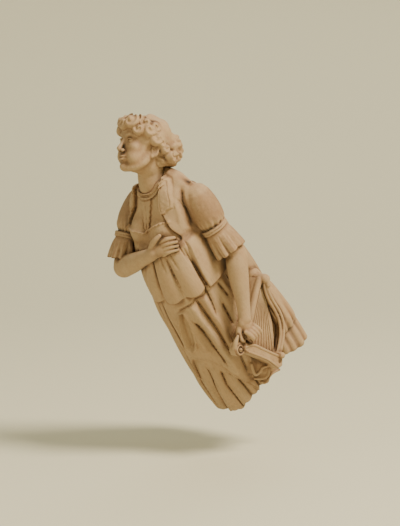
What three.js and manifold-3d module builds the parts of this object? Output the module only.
// A ship's figurehead, carved from one block of softwood: a woman at three-quarter length, leaning out
// from the stem, her right hand laid on her breast and her left holding a lyre against her skirt.
// Millimetres, +Z up. She faces -Y, her left side is +X, and the flat back seats on the raked stem.
// The carving is drawn in its own block frame: X to her left, Y back to the flat seat at y = 0, and
// Z up along the stem from the hem. The group at the end leans that block forward by the stem's rake.

import * as THREE from 'three';
import { mergeVertices } from 'three/addons/utils/BufferGeometryUtils.js';
import Module from 'manifold-3d';

const wasm = await Module();
wasm.setup();

// ---- Driving sizes ---------------------------------------------------------------------------

const STEM_RAKE = 40; // degrees that the stem, and with it the block, leans forward from upright
const SEAT_MIDDLE = 460; // height up the block of the point that becomes the origin
const SEAT_TOP = 905; // where the flat back ends, under the shoulders
const NECK_PIT = new THREE.Vector3(0, -135, 985); // the hollow at the foot of the throat
const TORSO_SETBACK = 32; // degrees by which the torso stands more upright than the block
const HEAD_TURN = 15; // degrees that the head turns to her right
const HEAD_LIFT = 12; // degrees that the face is lifted above level
const HEAD_HEIGHT = 254; // crown to chin, a little over life size
const WOOD = '#b5946a';

// ---- Small tools -----------------------------------------------------------------------------

const { cos, sin, PI, hypot, max, min, sign, abs } = Math;
const radians = THREE.MathUtils.degToRad;
const point = (x, y, z) => new THREE.Vector3(x, y, z);

// A smooth value between stations [where, value]
function along(stations, where) {
  const last = stations.length - 1;
  if (where <= stations[0][0]) return stations[0][1];
  if (where >= stations[last][0]) return stations[last][1];
  const i = stations.findIndex((station) => station[0] > where) - 1;
  const slope = (k) => {
    const a = stations[max(k - 1, 0)];
    const b = stations[min(k + 1, last)];
    return (b[1] - a[1]) / (b[0] - a[0]);
  };
  const span = stations[i + 1][0] - stations[i][0];
  const t = (where - stations[i][0]) / span;
  const rise = stations[i + 1][1] - stations[i][1];
  return stations[i][1] + rise * t * t * (3 - 2 * t)
    + span * t * (1 - t) * (slope(i) * (1 - t) - slope(i + 1) * t);
}

// A point of an oval: 0 degrees is in front, 90 degrees on her left, with fuller corners than an ellipse
function oval(degrees, half, front, back, fullness = 2.3) {
  const c = cos(radians(degrees));
  const s = sin(radians(degrees));
  const x = half * sign(s) * abs(s) ** (2 / fullness);
  const y = -(c > 0 ? front : back) * sign(c) * abs(c) ** (2 / fullness);
  return [x, y];
}

// A closed skin over rings of equal count, with a middle point in each end
function loft(rings) {
  const count = rings[0].length;
  const positions = rings.flat().flatMap((p) => [p.x, p.y, p.z]);
  const index = [];
  for (let r = 0; r < rings.length - 1; r += 1) {
    for (let k = 0; k < count; k += 1) {
      const a = r * count + k;
      const b = r * count + ((k + 1) % count);
      index.push(a, b, b + count, a, b + count, a + count);
    }
  }
  [0, rings.length - 1].forEach((r) => {
    const middle = rings[r].reduce((sum, p) => sum.add(p), point(0, 0, 0)).divideScalar(count);
    const tip = positions.length / 3;
    positions.push(middle.x, middle.y, middle.z);
    for (let k = 0; k < count; k += 1) {
      const a = r * count + k;
      const b = r * count + ((k + 1) % count);
      if (r === 0) index.push(tip, b, a);
      else index.push(tip, a, b);
    }
  });
  const geometry = new THREE.BufferGeometry();
  geometry.setAttribute('position', new THREE.Float32BufferAttribute(positions, 3));
  geometry.setIndex(index);
  return geometry;
}

// A tube through points, each [x, y, z, radius], squashed by flat across its second direction
function limb(stations, sides = 12, steps = 8, flat = 1, side = point(1, 0, 0)) {
  const middles = stations.map(([x, y, z]) => point(x, y, z));
  const path = new THREE.CatmullRomCurve3(middles, false, 'centripetal');
  const radii = stations.map((s, i) => [i / (stations.length - 1), s[3]]);
  const rounding = [0.6, 0.62]; // one more ring rounds each end: how far out, and how small
  const rings = [];
  const ring = (t, shift, scale) => {
    const tangent = path.getTangent(t);
    const rough = abs(side.dot(tangent)) > 0.9 ? point(0, 1, 0) : side;
    const across = rough.clone().addScaledVector(tangent, -rough.dot(tangent)).normalize();
    const other = tangent.clone().cross(across);
    const radius = along(radii, t);
    const middle = path.getPoint(t).addScaledVector(tangent, shift * radius);
    return Array.from({ length: sides }, (_, k) => {
      const angle = (2 * PI * k) / sides;
      return middle.clone().addScaledVector(across, cos(angle) * radius * scale)
        .addScaledVector(other, sin(angle) * radius * scale * flat);
    });
  };
  rings.push(ring(0, -rounding[0], rounding[1]));
  for (let i = 0; i <= steps; i += 1) rings.push(ring(i / steps, 0, 1));
  rings.push(ring(1, rounding[0], rounding[1]));
  return loft(rings);
}

// An ellipsoid, turned by an optional frame
function egg(middle, radii, frame = new THREE.Quaternion(), across = 14, up = 10) {
  const geometry = new THREE.SphereGeometry(1, across, up).scale(...radii);
  return geometry.applyQuaternion(frame).translate(middle.x, middle.y, middle.z);
}

// A closed geometry as a manifold solid
function solid(geometry) {
  geometry.deleteAttribute('normal');
  geometry.deleteAttribute('uv');
  const merged = mergeVertices(geometry, 1e-3);
  const vertProperties = new Float32Array(merged.attributes.position.array);
  const triVerts = new Uint32Array(merged.index.array);
  let shape = new wasm.Manifold(new wasm.Mesh({ numProp: 3, vertProperties, triVerts }));
  if (shape.volume() < 0) {
    for (let i = 0; i < triVerts.length; i += 3) {
      [triVerts[i], triVerts[i + 1]] = [triVerts[i + 1], triVerts[i]];
    }
    shape = new wasm.Manifold(new wasm.Mesh({ numProp: 3, vertProperties, triVerts }));
  }
  return shape;
}

const join = (geometries) => geometries.map(solid).reduce((sum, next) => sum.add(next));

// ---- Frames ----------------------------------------------------------------------------------

// The torso's frame stands on the pit of the neck and is more upright than the block
const torsoTurn = new THREE.Quaternion().setFromAxisAngle(point(1, 0, 0), -radians(TORSO_SETBACK));
const torso = (x, y, z) => point(x, y, z).applyQuaternion(torsoTurn).add(NECK_PIT);

// The head's frame stands in the middle of the skull
const headTurn = new THREE.Quaternion()
  .setFromAxisAngle(point(1, 0, 0), -radians(STEM_RAKE + HEAD_LIFT))
  .multiply(new THREE.Quaternion().setFromAxisAngle(point(0, 0, 1), -radians(HEAD_TURN)));
const headMiddle = torso(-8, -2, 172);
const FACE = HEAD_HEIGHT / 240; // sizes on the head are written for one of 240 mm
const head = (x, y, z) => point(x, y, z).multiplyScalar(FACE).applyQuaternion(headTurn).add(headMiddle);
const headSize = (...radii) => radii.map((r) => r * FACE);

// ---- Skirt -----------------------------------------------------------------------------------

const SKIRT_TOP = 640; // where the skirt goes up under the blouse
const SKIRT_HALF = [
  [-120, 174], [-60, 180], [0, 184], [60, 187], [280, 182], [480, 174], [600, 158], [640, 150],
];
const SKIRT_REACH = [
  [-120, 192], [-60, 202], [0, 207], [60, 211], [150, 209], [380, 196], [480, 190], [590, 170], [640, 156],
];
const SKIRT_SWAY = 14; // how far the column stands to her left of the seat's middle
const SKIRT_CORE = -205; // the column's middle line, from which its angles are taken
const SKIRT_BEHIND = 235; // its back runs past the seat and is sawn flat

// The hem's height round the skirt, as [angle, height]: it hangs lowest before her right foot
const HEM = [
  [-180, 4], [-130, -30], [-90, -62], [-50, -95], [-30, -110], [-5, -102], [25, -72], [40, -46], [55, -22],
  [70, -5], [100, 10], [180, 4],
];

// Folds as carved channels: each runs through [angle, height] points
const FOLD_LIMIT = 22;
const FOLDS = [
  { line: [[45, 570], [50, 365], [49, 215]], width: 18, depth: 18 },
  { line: [[29, 470], [35, 300], [38, 180]], width: 18, depth: 14 },
  { line: [[8, 500], [6, 340], [18, 360]], width: 18, depth: 10 },
  { line: [[8, 200], [-2, 40], [-14, -110]], width: 22, depth: 16 },
  { line: [[-21, 575], [-20, 151], [-24, -100]], width: 20, depth: 10 },
  { line: [[-48, 590], [-44, 300], [-46, -80]], width: 22, depth: 10 },
  { line: [[62, 330], [57, 119], [62, -60]], width: 20, depth: 16 },
  { line: [[-85, 560], [-84, -40]], width: 24, depth: 12 },
];

// Distance in degrees and millimetres from a fold's line, taken as millimetres
function foldDistance(line, degrees, z) {
  const scale = 3.6; // one degree on the skirt is about this many millimetres
  let best = Infinity;
  for (let i = 0; i < line.length - 1; i += 1) {
    const [a, b] = [line[i], line[i + 1]];
    const [dx, dz] = [(b[0] - a[0]) * scale, b[1] - a[1]];
    const [px, pz] = [(degrees - a[0]) * scale, z - a[1]];
    const t = min(max((px * dx + pz * dz) / (dx * dx + dz * dz), 0), 1);
    best = min(best, hypot(px - dx * t, pz - dz * t));
  }
  return best;
}

function skirtDepth(degrees, z) {
  const channels = FOLDS.reduce((sum, fold) => {
    const away = foldDistance(fold.line, degrees, z) / fold.width;
    return sum + fold.depth * Math.exp(-away * away);
  }, 0);
  return min(channels, FOLD_LIMIT);
}

function skirt() {
  const around = 42;
  const shares = [0, 0.02, 0.08, ...Array.from({ length: 9 }, (_, i) => 0.18 + i * 0.1025)];
  const rings = shares.map((share) => {
    const hemRound = share < 0.01 ? 0.955 : 1;
    return Array.from({ length: around }, (_, k) => {
      const degrees = -180 + (360 * k) / around;
      const hem = along(HEM, degrees);
      const z = hem + (SKIRT_TOP - hem) * share;
      const inset = abs(degrees) < 120 ? skirtDepth(degrees, z) : 0;
      const [half, reach] = [along(SKIRT_HALF, z), along(SKIRT_REACH, z)];
      const [x, y] = oval(degrees, half * hemRound, reach * hemRound, SKIRT_BEHIND, 2.1);
      const keep = 1 - inset / hypot(x, y);
      return point(SKIRT_SWAY + x * keep, SKIRT_CORE + y * keep, z);
    });
  });
  return loft(rings);
}

// The mass behind her back, left by the carver between the figure and the stem
function backing() {
  const stations = [
    [20, 182, 130], [300, 186, 130], [480, 186, 130], [600, 170, 130], [740, 156, 125], [860, 134, 110],
    [SEAT_TOP, 108, 90],
  ];
  return loft(stations.map(([z, half, deep]) => Array.from({ length: 20 }, (_, k) => {
    const [x, y] = oval(-180 + (360 * k) / 20, half, deep, 40, 2.8);
    return point(x, y, z);
  })));
}

// ---- Torso -----------------------------------------------------------------------------------

// [height, half width, middle, reach in front, reach behind] in the torso's frame
const TORSO = [
  [44, 60, 54, 50, 54], [30, 70, 58, 58, 62], [8, 96, 64, 68, 74], [-14, 126, 70, 82, 88],
  [-45, 148, 76, 88, 92], [-95, 160, 80, 102, 92], [-150, 156, 80, 112, 92], [-210, 146, 78, 112, 92],
  [-275, 136, 74, 100, 92], [-340, 130, 70, 88, 94],
];
const RIGHT_SLOPE = 0.13; // how much narrower her right shoulder is than her left

// The blouse's body or, with some spare all round, the jacket worn over it
function chest(spare) {
  return loft(TORSO.map(([z, half, middle, front, back]) => Array.from({ length: 24 }, (_, k) => {
    const [x, y] = oval(-180 + (360 * k) / 24, half + spare, front + spare, back + spare);
    const slope = x < 0 ? 1 - RIGHT_SLOPE * min(max((z + 190) / 160, 0), 1) : 1;
    return torso(x * slope, middle + y, z);
  })));
}

// The slope of her left shoulder, from the neck out to the sleeve
function shoulder() {
  return limb([[...torso(-10, 66, 50), 30], [...torso(70, 78, 6), 34], [...torso(130, 86, -40), 30]], 10, 4);
}

// The blouse gathers into a skirted hem of soft scallops in front, and the jacket's tails lie plain behind
function peplum() {
  const around = 42;
  const stations = [[790, 130, 112], [740, 148, 140], [690, 160, 162], [630, 168, 182], [566, 171, 192]];
  return loft(stations.map(([z, half, reach], row) => Array.from({ length: around }, (_, k) => {
    const degrees = -180 + (360 * k) / around;
    const scallop = degrees > -80 && degrees < 46 ? cos(radians(degrees) * 11) : 0;
    const wave = scallop * row;
    const [x, y] = oval(degrees, half + wave, reach + wave, 196, 2.1);
    const drop = row === stations.length - 1 ? 6 * scallop : 0;
    return point(27 + x, SKIRT_CORE + y, z - drop);
  })));
}

function bust() {
  return [-1, 1].map((side) => egg(torso(side * 62 - 8, 34, -180), [62, 76, 64], torsoTurn, 10, 8));
}

// Half the jacket's opening, as [out, up] down its edge: the neck, the notched lapel, then the front
const JACKET_EDGE = [
  [52, 80], [56, 30], [74, 0], [88, -36], [66, -60], [92, -92], [78, -122], [98, -140], [118, -250],
  [136, -350], [150, -460],
];
const JACKET_THICK = 9;
const OPENING_MIDDLE = -10; // the opening hangs a little to her right of the neck

function jacket() {
  const right = JACKET_EDGE.map(([out, up]) => new THREE.Vector2(OPENING_MIDDLE - out, up));
  const left = JACKET_EDGE.map(([out, up]) => new THREE.Vector2(OPENING_MIDDLE + out, up)).reverse();
  const opening = new THREE.ExtrudeGeometry(new THREE.Shape([...right, ...left]), {
    depth: 260,
    bevelEnabled: false,
  })
    .rotateX(PI / 2)
    .translate(0, 60, 0)
    .applyQuaternion(torsoTurn)
    .translate(...NECK_PIT);
  return solid(chest(JACKET_THICK)).subtract(solid(opening));
}

// ---- Sleeves and arms ------------------------------------------------------------------------

// Each arm's places in the block's frame, and the radii of its puff, band and frill
const ARMS = {
  right: {
    top: point(-160, -102, 860),
    band: point(-188, -218, 776),
    hem: point(-196, -296, 712),
    elbow: point(-196, -318, 690),
    wrist: torso(34, -66, -268),
    puff: 57,
    cuff: 50,
    flare: 66,
  },
  left: {
    top: point(176, -78, 886),
    band: point(203, -110, 754),
    hem: point(234, -122, 640),
    elbow: point(250, -114, 618),
    wrist: point(262, -240, 410),
    puff: 56,
    cuff: 54,
    flare: 71,
  },
};

// A turned form from start to end, through [share of the way, radius, depth of its pleats]
function gathered(start, end, profile, pleats) {
  const axis = end.clone().sub(start);
  const length = axis.length();
  axis.divideScalar(length);
  const across = point(0, 1, 0).addScaledVector(axis, -axis.y).normalize();
  const other = axis.clone().cross(across);
  const around = pleats * 3;
  return loft(profile.map(([share, radius, depth]) => Array.from({ length: around }, (_, k) => {
    const angle = (2 * PI * k) / around;
    const reach = radius + depth * cos(angle * pleats);
    return start.clone().addScaledVector(axis, share * length)
      .addScaledVector(across, cos(angle) * reach)
      .addScaledVector(other, sin(angle) * reach);
  })));
}

// A sleeve is a puff, the band that gathers it, and a flared frill with an open mouth
function sleeve({ top, band, hem, puff, cuff, flare }) {
  const puffed = [
    [-0.38, 0.42, 0], [-0.2, 0.82, 0], [0.1, 1.04, 1], [0.45, 1.12, 1], [0.75, 1.05, 2], [1.02, 0.85, 3],
  ];
  const frill = [
    [-0.08, cuff + 4, 0], [0.1, cuff + 4, 0], [0.14, cuff - 1, 1], [0.4, cuff + 7, 3], [1.02, flare, 6],
    [0.96, flare - 10, 5], [0.45, cuff - 8, 2],
  ];
  return [
    gathered(top, band, puffed.map(([share, size, deep]) => [share, size * puff, deep]), 6),
    gathered(band, hem, frill, 6),
  ];
}

const to4 = (p, radius) => [p.x, p.y, p.z, radius];
const between = (a, b, t) => a.clone().lerp(b, t);

function rightArm() {
  const { band, elbow, wrist } = ARMS.right;
  const forearm = between(elbow, wrist, 0.3);
  const knuckles = torso(88, -58, -238);
  const fingers = [0, 1, 2, 3].map((i) => {
    const root = torso(88 + i * 3, -61 + i * 3, -212 - i * 17);
    const middle = torso(118 + i * 2 - abs(i - 1) * 2, -57 + i * 4, -200 - i * 17);
    const tip = torso(148 - abs(i - 1) * 6, -33 + i * 4, -196 - i * 17);
    return limb([to4(root, 10.5), to4(middle, 10), to4(tip, 8)], 6, 2);
  });
  return [
    limb([to4(between(band, elbow, 0.3), 42), to4(elbow, 42), to4(forearm, 43), to4(wrist, 28)], 11, 5),
    limb([to4(wrist, 28), to4(torso(54, -66, -252), 32), to4(knuckles, 33)], 10, 4, 0.62, point(0, 0.5, 1)),
    limb([to4(torso(50, -74, -238), 13), to4(torso(68, -82, -216), 12), to4(torso(98, -75, -184), 9)], 8, 4),
    ...fingers,
  ];
}

function leftArm() {
  const { band, elbow, wrist } = ARMS.left;
  const forearm = between(elbow, wrist, 0.3).add(point(0, -6, 0));
  const palm = point(264, -274, 350);
  const fingers = [0, 1, 2, 3].map((i) => {
    const root = point(278, -302 + i * 16.5, 340 - i * 2.5);
    const middle = point(292, -301 + i * 16.5, 316 - i * 2.5);
    const tip = point(277, -294 + i * 16.5, 290 - i * 2.5);
    return limb([to4(root, 11), to4(middle, 11), to4(tip, 9)], 6, 2);
  });
  return [
    limb([to4(between(band, elbow, 0.3), 42), to4(elbow, 42), to4(forearm, 44), to4(wrist, 28)], 11, 5),
    limb([to4(wrist, 28), to4(between(wrist, palm, 0.5), 32), to4(palm, 33)], 10, 4, 0.7, point(0, 1, 0.3)),
    limb([[254, -286, 370, 13], [254, -318, 350, 12], [262, -326, 312, 9]], 7, 3),
    ...fingers,
  ];
}

// ---- Head ------------------------------------------------------------------------------------

function skull() {
  const nose = [[0, -84, 14, 6], [0, -93, -8, 7], [0, -101, -30, 10]];
  const lips = [[-23, -79, -62, 4], [0, -89, -63, 7], [23, -79, -62, 4]];
  const brow = [[11, -85, 21, 5], [30, -84, 27, 6], [53, -66, 20, 5]];
  const feature = (line, side, sides) => (
    limb(line.map(([x, y, z, radius]) => [...head(side * x, y, z), radius * FACE]), sides, 3));
  return [
    egg(head(0, 6, 30), headSize(75, 93, 86), headTurn, 14, 10),
    egg(head(0, -26, -30), headSize(62, 58, 76), headTurn, 14, 10),
    egg(head(0, -50, -78), headSize(36, 36, 32), headTurn, 10, 8),
    feature(nose, 1, 6),
    feature(lips, 1, 6),
    ...[-1, 1].flatMap((side) => [
      egg(head(side * 74, 10, -22), headSize(8, 17, 28), headTurn, 7, 5),
      egg(head(side * 31, -70, 3), headSize(15, 13, 12), headTurn, 7, 5),
      feature(brow, side, 5),
    ]),
    limb([[...torso(-20, 52, -50), 56], [...torso(-18, 40, 20), 58], [...head(0, 14, -56), 53]], 13, 4),
  ];
}

// Hair: a cap drawn back over the crown, curls along the brow, and a gathered bun at the nape
function hair() {
  const cap = egg(head(0, 14, 34), headSize(88, 103, 87), headTurn, 14, 9);
  const row = (count, first, apart, out, back, high, fall, size) => Array.from({ length: count }, (_, i) => {
    const angle = radians(first + i * apart);
    const lift = high - fall * (1 - cos(angle)) + (i % 2) * (size > 23 ? 15 : 0);
    const place = head(out * sin(angle), back - (out + 5) * cos(angle), lift);
    return egg(place, headSize(size, size, size), headTurn, 7, 4);
  });
  const sides = [-1, 1].flatMap((side) => [0, 1, 2, 3].map((i) => (
    egg(head(side * (76 - i * 3), i * 25, 32 - i * 23), headSize(24, 24, 24), headTurn, 7, 4))));
  const bun = egg(head(0, 108, -12), headSize(64, 52, 58), headTurn, 10, 7);
  const nape = egg(head(0, 96, -46), headSize(60, 44, 34), headTurn, 8, 6);
  const brow = row(9, -96, 24, 79, -4, 62, 32, 24);
  const crown = row(6, -75, 30, 72, 8, 88, 24, 22);
  return [cap, ...brow, ...crown, ...sides, bun, nape];
}

// ---- Lyre ------------------------------------------------------------------------------------

const BOARD_FACE = 238; // how far out from the middle of the block the lyre's board stands
const BEAM_FACE = 276;
const BOARD = [
  [-70, 426], [-66, 372], [-102, 284], [-126, 215], [-158, 160], [-196, 112], [-240, 120], [-300, 230],
  [-330, 296], [-250, 330], [-200, 358], [-119, 404],
];
const BEAM = [
  [-350, 292], [-326, 304], [-296, 271], [-263, 210], [-230, 148], [-196, 84], [-224, 54], [-254, 66],
  [-278, 138], [-311, 200], [-346, 258],
];
const OUTER_ARM = [[-66, 392], [-77, 367], [-84, 308], [-86, 241], [-100, 188], [-130, 146], [-192, 100]];
const STRAP = [[-72, 414], [-119, 392], [-170, 362], [-230, 326], [-310, 296]];
const SCROLL = [-360, 298];
const PEG = [-56, 402];

// A flat board in the side plane, cut to an outline of [y, z]
function board(outline, from, to) {
  const shape = new THREE.Shape(outline.map(([y, z]) => new THREE.Vector2(y, z)));
  return new THREE.ExtrudeGeometry(shape, { depth: to - from, bevelEnabled: false })
    .applyMatrix4(new THREE.Matrix4().makeBasis(point(0, 1, 0), point(0, 0, 1), point(1, 0, 0)))
    .translate(from, 0, 0);
}

function lyre() {
  const sideBar = (x, path, radius) => limb(path.map(([y, z]) => [x, y, z, radius]), 7, 6);
  return [
    board(BOARD, 120, BOARD_FACE),
    board(BEAM, 120, BEAM_FACE),
    sideBar(238, STRAP, 14),
    sideBar(200, OUTER_ARM, 26),
    sideBar(244, OUTER_ARM, 14),
    sideBar(258, OUTER_ARM, 9.5),
    limb([[232, ...SCROLL, 29], [260, ...SCROLL, 31]], 14, 2),
    limb([[256, -394, 312, 12], [258, -385, 338, 12], [260, -352, 355, 10], [262, -322, 352, 7]], 8, 5),
    limb([[180, ...PEG, 23], [252, ...PEG, 23]], 10, 2),
    limb([[262, -52, 410, 13], [264, -68, 380, 13]], 8, 2),
    limb([[200, -204, 100, 16], [BEAM_FACE + 2, -204, 100, 15]], 8, 2),
  ];
}

// ---- Drapery beside and behind the lyre ------------------------------------------------------

function mantle() {
  const fold = (...points) => limb(points, 8, 3);
  const upper = [[236, -92, 6], [246, -58, 4], [238, -20, 2]].map(([x, y, lean]) => (
    fold([x - 26, y + 4, 330, 12], [x - 8, y, 250, 17], [x + lean, y - 3, 150, 18])));
  const lower = [[222, -128, 34, 22], [236, -98, 22, 21], [246, -62, 14, 22], [240, -26, 10, 20]];
  return [
    fold([188, -46, 412, 30], [200, -50, 340, 42], [206, -54, 240, 50], [208, -62, 172, 50]),
    ...upper,
    fold([190, -70, 150, 40], [200, -76, 60, 44], [204, -78, 34, 40]),
    ...lower.map(([x, y, low, radius]) => (
      fold([x - 18, y + 18, 142, 12], [x - 4, y + 6, 90, radius - 3], [x, y, low + 14, radius]))),
    fold([176, -190, 160, 30], [186, -212, 76, 38], [178, -220, 36, 36]),
    fold([168, -150, 160, 26], [188, -160, 76, 30], [182, -166, 34, 28]),
  ];
}

// Pointed leaves that hang from under the lyre's beam, each tilted out towards its lower right
function kerchief() {
  const leaf = (middle, tilt, outline) => {
    const geometry = board(outline, 120, 0);
    const at = geometry.attributes.position;
    for (let i = 0; i < at.count; i += 1) {
      const face = middle[0] + tilt[0] * (at.getY(i) - middle[1]) + tilt[1] * (at.getZ(i) - middle[2]);
      if (at.getX(i) < 60) at.setX(i, face);
    }
    return geometry;
  };
  return [
    leaf([224, -282, 97], [0.6, -0.5], [
      [-282, 168], [-304, 138], [-321, 94], [-300, 90], [-282, 96], [-248, 88], [-226, 104], [-250, 176]]),
    leaf([204, -294, 45], [0.8, -0.25], [
      [-310, 108], [-318, 64], [-296, 42], [-271, 38], [-246, 68], [-232, 100]]),
    leaf([196, -289, 20], [0.3, 0], [[-306, 80], [-300, 24], [-289, 8], [-246, 18], [-208, 6], [-206, 70]]),
  ];
}

// ---- The carving -----------------------------------------------------------------------------

function figure() {
  const body = join([
    skirt(), backing(), chest(0), shoulder(), peplum(), ...bust(),
    ...sleeve(ARMS.right), ...sleeve(ARMS.left), ...rightArm(), ...leftArm(),
    ...skull(), ...hair(), ...lyre(), ...mantle(), ...kerchief(),
  ]).add(jacket());
  const saw = solid(new THREE.BoxGeometry(900, 200, SEAT_TOP + 140).translate(0, 100, (SEAT_TOP - 140) / 2));
  // Small hollows shut in between the masses stay solid wood
  const [outer] = body.subtract(saw).decompose().sort((a, b) => b.volume() - a.volume());
  const mesh = outer.getMesh();
  const geometry = new THREE.BufferGeometry();
  geometry.setAttribute('position', new THREE.BufferAttribute(mesh.vertProperties, 3));
  geometry.setIndex(new THREE.BufferAttribute(mesh.triVerts, 1));
  return geometry.translate(0, 0, -SEAT_MIDDLE);
}

const figurehead = new THREE.Mesh(
  figure(),
  new THREE.MeshStandardMaterial({ color: WOOD, roughness: 0.7, metalness: 0 }),
);
figurehead.name = 'figurehead';

const group = new THREE.Group();
group.rotation.x = radians(STEM_RAKE);
group.add(figurehead);

export default group;
